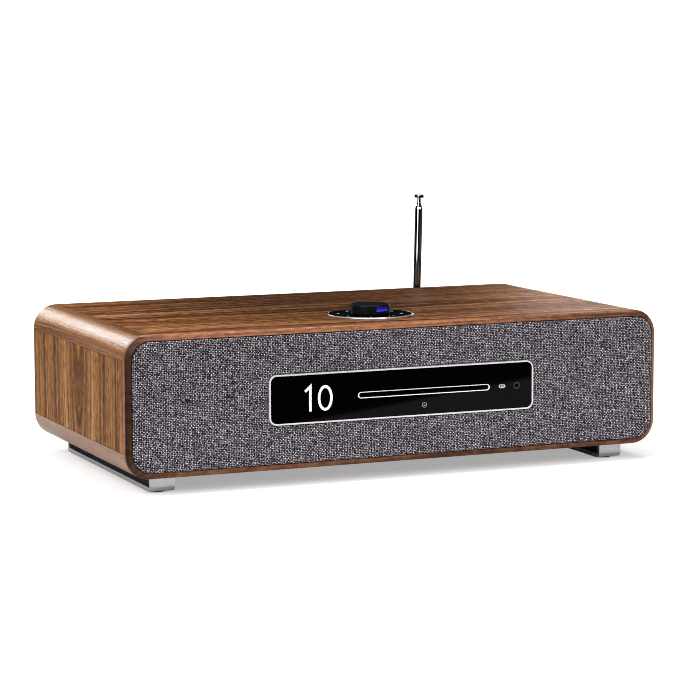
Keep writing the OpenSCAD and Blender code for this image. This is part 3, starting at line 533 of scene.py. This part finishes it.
def make_materials():
    """Gives every CAD node its material, and returns the materials by name."""
    black = plastic("black_plastic", "1a1a1c", 0.5, 0.4, 0.1)
    table = {
        "top_panel": walnut_flat("walnut_top"),
        "bottom_panel": walnut_flat("walnut_bottom"),
        "left_panel": walnut_side("walnut_left", 0.0),
        "right_panel": walnut_side("walnut_right", 4.0),
        "corner_mouldings": walnut_moulding("walnut_moulding"),
        "front_surround": walnut_border("walnut_border"),
        "rear_panel": plastic("rear_board", "1b1b1d", 0.6, 0.4, 0.3),
        "baffle": plastic("baffle_board", "2a2725", 0.8, 0.3, 0.3),
        "grille_frame": black,
        "grille_cloth": tweed("grille_tweed"),
        "fascia_bezel": metal("bezel_metal", "f6f7f8", 0.3, metallic=0.35),
        "fascia_window": plastic("gloss_window", "020203", 0.04, 0.08, shade=0.05),
        "slot_trim": slot_metal("slot_metal"),
        "display_board": plastic("circuit_board", "1d4a2c", 0.4),
        "eject_button": metal("button_metal", "eeeff0", 0.3, metallic=0.4),
        "headphone_jack": plastic("jack_plastic", "0c0c0e", 0.3, 0.3),
        "driver_baskets": plastic("basket_steel", "242426", 0.45),
        "driver_magnets": metal("magnet_steel", "77787a", 0.4),
        "driver_surrounds": plastic("surround_rubber", "161618", 0.6, 0.3),
        "cones": plastic("cone_paper", "3b3b3e", 0.85, 0.25, 0.5, 900.0),
        "woofer_guard": plastic("guard_metal", "1c1c1e", 0.4),
        "amplifier_board": metal("amplifier_alloy", "9a9c9f", 0.35, 1),
        "line_sockets": metal("socket_metal", "c4c5c8", 0.22),
        "digital_sockets": metal("shield_metal", "a4a6aa", 0.35),
        "antenna_socket": metal("contact_brass", "c2a25a", 0.25),
        "aerial": aerial_metal("aerial_chrome"),
        "dial_ring": ring_metal("ring_metal"),
        "dial_base": plastic("dial_gloss", "040405", 0.06, 0.15, shade=0.05),
        "dial_knob": plastic("knob_plastic", "0e0f11", 0.36, 0.1, 0.1),
        "dial_light": window_light("blue_light"),
        "keys": plastic("key_gloss", "050506", 0.08, 0.15, shade=0.05),
        "cd_chassis": metal("drive_steel", "8f9194", 0.35),
        "cd_turntable": plastic("turntable_plastic", "26262a", 0.5),
        "cd_sled": plastic("sled_plastic", "4f5155", 0.5),
        "cd_roller": plastic("roller_rubber", "2a2a2c", 0.8),
        "foot_rails": metal("foot_aluminium", "c9c9cc", 0.3, 0, metallic=0.9),
        "foot_blocks": plastic("foot_rubber", "141416", 0.75, 0.3, 0.2),
        "panel_screws": metal("screw_steel", "8b8d90", 0.3),
        "black": black,
    }
    alias = {"left_cone": "cones", "right_cone": "cones", "woofer_cone": "cones",
             "fascia_carrier": "black", "bass_port": "black", "main_board": "display_board",
             "power_supply": "display_board", "optical_shutter": "black", "mains_inlet": "black",
             "antenna_elbow": "aerial", "antenna_tube_1": "aerial", "antenna_tube_2": "aerial",
             "antenna_tube_3": "aerial", "antenna_rod": "aerial", "encoder": "driver_magnets",
             "encoder_shaft": "eject_button", "encoder_plunger": "antenna_socket"}
    alias.update({f"key_{i}": "keys" for i in range(1, 9)})
    for name, obj in NODES.items():
        material = table[alias.get(name, name)]
        obj.data.materials.clear()
        obj.data.materials.append(material)
    return table


# ---- mesh helpers --------------------------------------------------------------------------


def new_piece(name, vertices, faces, material, body="root", smooth=False):
    """A mesh object that rides on a body of the frame."""
    mesh = bpy.data.meshes.new(name)
    mesh.from_pydata([tuple(v) for v in vertices], [], faces)
    mesh.validate()
    mesh.materials.append(material)
    if smooth:
        mesh.polygons.foreach_set("use_smooth", [True] * len(mesh.polygons))
    piece = bpy.data.objects.new(name, mesh)
    bpy.context.scene.collection.objects.link(piece)
    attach(piece, body)
    return piece


def rounded_loop(half_w, half_h, r, long_steps, short_steps, turn_steps):
    """Points round a rounded rectangle in X and Z, counter-clockwise seen from the front."""
    points = []
    corners = [(1, 1, 0), (-1, 1, 90), (-1, -1, 180), (1, -1, 270)]
    for i, (sx, sz, start) in enumerate(corners):
        cx, cz = sx * (half_w - r), sz * (half_h - r)
        for k in range(turn_steps + 1):
            a = math.radians(start + 90 * k / turn_steps)
            points.append((cx + r * math.cos(a), cz + r * math.sin(a)))
        nx, nz, _ = corners[(i + 1) % 4]
        steps = long_steps if i % 2 == 0 else short_steps
        a = math.radians(start + 90)
        first = (cx + r * math.cos(a), cz + r * math.sin(a))
        last = (nx * (half_w - r) + r * math.cos(a), nz * (half_h - r) + r * math.sin(a))
        for k in range(1, steps):
            t = k / steps
            points.append((first[0] + (last[0] - first[0]) * t, first[1] + (last[1] - first[1]) * t))
    return points


def ring_faces(rings, count):
    """Quads between neighbouring closed rings of count points."""
    return [(i * count + k, i * count + (k + 1) % count, (i + 1) * count + (k + 1) % count,
             (i + 1) * count + k) for i in range(rings - 1) for k in range(count)]


def ribbon(points, width, closed=False):
    """Flat band along points in a plane: its vertices and faces."""
    count = len(points)
    vertices, faces = [], []
    for i, (x, y) in enumerate(points):
        before = points[i - 1] if i or closed else points[i]
        after = points[(i + 1) % count] if i + 1 < count or closed else points[i]
        first = Vector((x - before[0], y - before[1]))
        second = Vector((after[0] - x, after[1] - y))
        first = first.normalized() if first.length > 1e-9 else second.normalized()
        second = second.normalized() if second.length > 1e-9 else first
        along = (first + second).normalized()
        normal = Vector((-along.y, along.x))
        reach = width / 2 / max(0.4, normal.dot(Vector((-first.y, first.x))))
        vertices += [(x + normal.x * reach, y + normal.y * reach),
                     (x - normal.x * reach, y - normal.y * reach)]
    for i in range(count if closed else count - 1):
        a, b = 2 * i, 2 * ((i + 1) % count)
        faces.append((a, a + 1, b + 1, b))
    return vertices, faces


def arc(cx, cy, rx, ry, start, end, steps):
    """Points on an ellipse, from start to end in degrees."""
    return [(cx + rx * math.cos(math.radians(start + (end - start) * k / steps)),
             cy + ry * math.sin(math.radians(start + (end - start) * k / steps)))
            for k in range(steps + 1)]


def circle(r, steps):
    """Points round a circle, without a double point."""
    return arc(0, 0, r, r, 0, 360, steps)[:-1]


def gather(parts):
    """One list of vertices and faces from several."""
    vertices, faces = [], []
    for v, f in parts:
        base = len(vertices)
        vertices += v
        faces += [tuple(base + i for i in face) for face in f]
    return vertices, faces


def solid(outline):
    """A filled convex outline."""
    return list(outline), [tuple(range(len(outline)))]


# ---- grille cloth --------------------------------------------------------------------------

CLOTH_CORNER = 0.016         # radius of the cloth's four corners
CLOTH_WRAP = 0.0017          # radius of the turn over the frame's edge
CLOTH_LAND = 0.0008          # narrow band behind that turn, which keeps its shading crisp
CLOTH_TUCK = 0.0012          # radius of the turn round the fascia
CLOTH_REACH = 0.0035         # how deep the cut edge goes beside the fascia
CLOTH_THICK = 0.0006
HOLE_GAP = 0.0003            # room between the cloth and the fascia
HOLE_R = 0.0073              # corner radius of the hole
CLOTH_STEPS = (96, 22, 10)   # points on a long side, a short side and a corner
CLOTH_BANDS = 12             # rings between the edge and the hole


def make_cloth(material):
    """Cloth stretched over the grille frame, turned over its edge and tucked in at the fascia."""
    low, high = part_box("grille_cloth")
    bezel_low, bezel_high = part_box("fascia_bezel")
    half_w, half_h = (high.x - low.x) / 2, (high.z - low.z) / 2
    hole_w = (bezel_high.x - bezel_low.x) / 2 + HOLE_GAP
    hole_h = (bezel_high.z - bezel_low.z) / 2 + HOLE_GAP
    rings = []

    def outer(inset, y):
        rings.append((rounded_loop(half_w - inset, half_h - inset, CLOTH_CORNER - inset,
                                   *CLOTH_STEPS), y))

    def hole(margin):
        return rounded_loop(hole_w + margin, hole_h + margin, HOLE_R + margin, *CLOTH_STEPS)

    outer(0.0, high.y)
    outer(0.0, low.y + CLOTH_WRAP + CLOTH_LAND)
    for k in range(7):
        a = math.radians(15 * k)
        outer(CLOTH_WRAP * (1 - math.cos(a)), low.y + CLOTH_WRAP * (1 - math.sin(a)))
    start = rings[-1][0]
    for k in range(1, CLOTH_BANDS + 1):
        t = k / CLOTH_BANDS
        rings.append(([(a[0] + (b[0] - a[0]) * t, a[1] + (b[1] - a[1]) * t)
                       for a, b in zip(start, hole(CLOTH_TUCK))], low.y))
    for k in range(1, 5):
        a = math.radians(22.5 * k)
        rings.append((hole(CLOTH_TUCK * (1 - math.sin(a))), low.y + CLOTH_TUCK * (1 - math.cos(a))))
    rings.append((hole(0.0), low.y + CLOTH_REACH))
    count = len(start)
    vertices = [(x, y, z + MID_Z) for points, y in rings for x, z in points]
    faces = ring_faces(len(rings), count)
    piece = new_piece("grille_fabric", vertices, faces, material, smooth=True)
    thick = piece.modifiers.new("thickness", "SOLIDIFY")
    thick.thickness = CLOTH_THICK
    thick.offset = -1
    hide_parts("grille_cloth")


# ---- display, marks and symbols ------------------------------------------------------------

LIFT = 0.00004               # how far a mark stands in front of its face, so that they don't flicker
DIGIT_SIZE = 0.0118          # half the height of a digit, about
DIGIT_Z = MID_Z - 0.0004
DIGIT_X = (-0.0915, -0.0765)                 # middles of the two digits
DISC_Z = MID_Z - 0.0125
DISC_R = 0.0022
BUTTON_UNIT = 0.00088        # radius of the eject button's inset ends
JACK_RING_R = 0.00284
DISH_SLOPE = math.tan(math.radians(2.12))    # fall of the control's plate towards the knob
SYMBOL_R = 0.029             # distance of the key symbols from the knob's axis
SYMBOL_SIZE = 0.0017


def front_piece(name, shape, x, z, y, size, material, body="root"):
    """A flat shape on a plane that faces the front; its unit is size."""
    vertices, faces = shape
    new_piece(name, [(x + a * size, y, z + b * size) for a, b in vertices], faces, material,
              body)


def digit_one():
    return ribbon([(-0.36, 0.56), (0.06, 0.92), (0.06, -0.95)], 0.2)


def digit_zero():
    return ribbon(arc(0, 0, 0.5, 0.86, 0, 360, 48)[:-1], 0.2, closed=True)


def box_shape(x, y, w, h):
    """Filled rectangle round a middle point."""
    return solid([(x - w / 2, y - h / 2), (x + w / 2, y - h / 2), (x + w / 2, y + h / 2),
                  (x - w / 2, y + h / 2)])


def triangle(x, y, size, way=1):
    """Filled arrowhead that points right, or left when way is -1."""
    points = [(x - way * size * 0.5, y - size * 0.62), (x + way * size * 0.55, y),
              (x - way * size * 0.5, y + size * 0.62)]
    return solid(points if way > 0 else points[::-1])


def symbols():
    """Eight plain control symbols, each about two units across."""
    return [
        gather([ribbon(arc(0, -0.1, 0.8, 0.8, 125, 415, 30), 0.22), box_shape(0, 0.55, 0.22, 0.9)]),
        gather([box_shape(0, 0.62, 1.7, 0.24), box_shape(0, 0, 1.7, 0.24),
                box_shape(0, -0.62, 1.7, 0.24)]),
        gather([triangle(0.35, 0, 1.3), box_shape(-0.75, 0, 0.26, 1.6)]),
        triangle(0.1, 0, 1.5),
        box_shape(0, 0, 1.4, 1.4),
        gather([triangle(-0.35, 0, 1.3, -1), box_shape(0.75, 0, 0.26, 1.6)]),
        gather([box_shape(-0.62, -0.3, 0.28, 1.0), box_shape(0, 0, 0.28, 1.6),
                box_shape(0.62, -0.15, 0.28, 1.3)]),
        gather([ribbon(circle(0.82, 30), 0.2, closed=True), solid(circle(0.3, 16))]),
    ]


def make_front_marks(white):
    """Digits and disc symbol on the window, and the eject button's and the jack's details."""
    lit = glowing("display_white", "f4f5fa", 0.55)
    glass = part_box("fascia_window")[0].y - 1.5 * LIFT
    for i, shape in enumerate((digit_one(), digit_zero())):
        front_piece(f"display_digit_{i + 1}", shape, DIGIT_X[i], DIGIT_Z, glass, DIGIT_SIZE, lit)
    disc = gather([ribbon(circle(1, 40), 0.16, closed=True), ribbon(circle(0.3, 20), 0.14, closed=True)])
    front_piece("disc_symbol", disc, centre("slot_trim").x, DISC_Z, glass, DISC_R,
                plastic("mark_grey", "a9abb0", 0.5, 0.3, shade=0.04))
    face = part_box("eject_button")[0].y
    middle = centre("eject_button").x
    inset = solid(arc(1.6, 0, 1, 1, -90, 90, 12) + arc(-1.6, 0, 1, 1, 90, 270, 12))
    front_piece("eject_inset", inset, middle, MID_Z, face - LIFT, BUTTON_UNIT,
                plastic("mark_black", "060607", 0.2, 0.3, shade=0.04), "eject")
    front_piece("eject_symbol", box_shape(0.3, 0, 2.6, 0.62), middle, MID_Z, face - 2 * LIFT,
                BUTTON_UNIT, white, "eject")
    front_piece("jack_ring", ribbon(circle(1, 40), 0.13, closed=True), centre("headphone_jack").x,
                MID_Z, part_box("headphone_jack")[0].y - LIFT, JACK_RING_R,
                metal("jack_metal", "6a6b6e", 0.35, metallic=0.6))


def make_key_symbols(white):
    """One symbol on each key, lying on the dished plate."""
    low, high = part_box("dial_base")
    middle = centre("dial_base")
    rim_r = (high.x - low.x) / 2
    for i, (outline, faces) in enumerate(symbols()):
        turn = math.radians(22.5 + 45 * i)
        cx, cy = middle.x + SYMBOL_R * math.cos(turn), middle.y + SYMBOL_R * math.sin(turn)
        vertices = []
        for a, b in outline:
            x, y = cx + a * SYMBOL_SIZE, cy + b * SYMBOL_SIZE
            fall = (rim_r - math.hypot(x - middle.x, y - middle.y)) * DISH_SLOPE
            vertices.append((x, y, high.z - fall + 1.25 * LIFT))
        new_piece(f"key_symbol_{i + 1}", vertices, faces, white, f"key_{i + 1}")


def make_marks():
    white = plastic("mark_white", "e9eaee", 0.45, 0.3, shade=0.04)
    make_front_marks(white)
    make_key_symbols(white)


# ---- studio --------------------------------------------------------------------------------

BACKDROP = 1.1               # brightness of the backdrop that the camera sees
WORLD_LIGHT = 0.12           # brightness of the room above
DARK_LOW = 0.01              # and low down
FLOOR_SIZE = 14.0            # from the middle to each side
FLOOR_GLOW = 0.38            # keeps the shadow under the cabinet a light grey
FLOOR_WHITE = 1.05           # glow of the pure white further out
FLOOR_NEAR = 0.5             # the floor fades into pure white between these distances
FLOOR_FAR = 1.2
PAPER = 0.8                  # how much light the floor sends back
DARK_PAPER = 0.02            # and where it is dark to everything but the camera
LIT_TURN = (0.484, 0.875)    # direction across the edge between the dark and the lit floor
LIT_FROM = (-0.412, -0.405)  # place of that edge along the direction

# Name, place, what it points at, size and power of each soft light
LIGHTS = [
    ("key_light", (-1.9, -0.9, 1.7), (0, 0, 0.05), (1.5, 1.5), 60),
    ("front_light", (0.7, -2.3, 1.5), (0, 0, 0.08), (1.4, 1.2), 34),
    ("top_light", (0.1, 0.0, 2.4), (0, 0, 0.05), (1.8, 1.4), 40),
    ("edge_light", (-0.62, 2.2, 0.97), (-0.2, 0, 0.12), (0.62, 0.6), 11),
    ("right_light", (1.5, 1.65, 0.28), (0.24, 0, 0.12), (0.8, 0.44), 4.6),
    ("strip_light", (-0.995, -0.81, 0.125), (0.15, 0.14, 0.18), (0.666, 0.15), 0.8),
]


def set_range(node, start, end, low, high):
    """Sets what a map range node turns into what."""
    for name, number in (("From Min", start), ("From Max", end), ("To Min", low), ("To Max", high)):
        node.inputs[name].default_value = number


def make_floor():
    """White paper that glows for the camera. For reflections it is dark in front and far away."""
    mesh = bpy.data.meshes.new("floor")
    size = FLOOR_SIZE
    mesh.from_pydata([(-size, -size, 0), (size, -size, 0), (size, size, 0), (-size, size, 0)], [],
                     [(0, 1, 2, 3)])
    floor = bpy.data.objects.new("floor", mesh)
    bpy.context.scene.collection.objects.link(floor)
    n = Nodes("floor_paper")
    place = n.place()
    length = n.add("ShaderNodeVectorMath", operation="LENGTH")
    n.put(place, length.inputs[0])
    distance = length.outputs["Value"]
    x, y, _ = n.parts(place)

    def fade(value, start, end, low, high):
        node = n.add("ShaderNodeMapRange", interpolation_type="SMOOTHSTEP")
        n.put(value, node.inputs["Value"])
        set_range(node, start, end, low, high)
        return node.outputs["Result"]

    seen = n.add("ShaderNodeLightPath").outputs["Is Camera Ray"]
    glow = n.math("MULTIPLY", seen, fade(distance, FLOOR_NEAR, FLOOR_FAR, FLOOR_GLOW, FLOOR_WHITE))
    edge = n.math("ADD", n.math("MULTIPLY", x, LIT_TURN[0]), n.math("MULTIPLY", y, LIT_TURN[1]))
    lit = n.math("MULTIPLY", fade(edge, *LIT_FROM, 0.0, 1.0), fade(distance, 1.0, 1.3, 1.0, 0.1))
    albedo = n.math("MAXIMUM", seen, lit)
    n.surface(base_color=n.mix(albedo, (DARK_PAPER,) * 3 + (1,), (PAPER,) * 3 + (1,)),
              roughness=1.0, emission_color=(1, 1, 1, 1), emission_strength=glow)
    n.shader.inputs["Specular IOR Level"].default_value = 0.0
    mesh.materials.append(n.material)


def soft_box(name, place, target, size, power):
    """Rectangular soft light that points at a target."""
    data = bpy.data.lights.new(name, "AREA")
    data.shape = "RECTANGLE"
    data.size, data.size_y = size
    data.energy = power
    light = bpy.data.objects.new(name, data)
    light.location = place
    light.rotation_euler = (Vector(target) - Vector(place)).to_track_quat("-Z", "Y").to_euler()
    bpy.context.scene.collection.objects.link(light)


def make_world():
    """White backdrop for the camera; for light and reflections a dim room, darkest low down."""
    world = bpy.data.worlds.new("studio")
    world.use_nodes = True
    tree = world.node_tree
    tree.nodes.clear()
    path = tree.nodes.new("ShaderNodeLightPath")
    mix = tree.nodes.new("ShaderNodeMixShader")
    output = tree.nodes.new("ShaderNodeOutputWorld")
    split = tree.nodes.new("ShaderNodeSeparateXYZ")
    height = tree.nodes.new("ShaderNodeMapRange")
    height.interpolation_type = "SMOOTHSTEP"
    set_range(height, 0.15, 0.7, DARK_LOW, WORLD_LIGHT)
    room, backdrop = [tree.nodes.new("ShaderNodeBackground") for _ in range(2)]
    for light in (room, backdrop):
        light.inputs["Color"].default_value = (1, 1, 1, 1)
    backdrop.inputs["Strength"].default_value = BACKDROP
    for out, into in ((tree.nodes.new("ShaderNodeTexCoord").outputs["Generated"], split.inputs[0]),
                      (split.outputs["Z"], height.inputs["Value"]),
                      (height.outputs["Result"], room.inputs["Strength"]),
                      (path.outputs["Is Camera Ray"], mix.inputs[0]),
                      (room.outputs[0], mix.inputs[1]),
                      (backdrop.outputs[0], mix.inputs[2]),
                      (mix.outputs[0], output.inputs[0])):
        tree.links.new(out, into)
    bpy.context.scene.world = world


def make_studio():
    scene = bpy.context.scene
    scene.view_settings.view_transform = "Standard"
    scene.view_settings.look = "None"
    scene.cycles.use_denoising = True
    scene.cycles.filter_width = 1.0
    make_world()
    make_floor()
    for light in LIGHTS:
        soft_box(*light)


make_camera()
materials = make_materials()
make_cloth(materials["grille_cloth"])
make_marks()
make_studio()
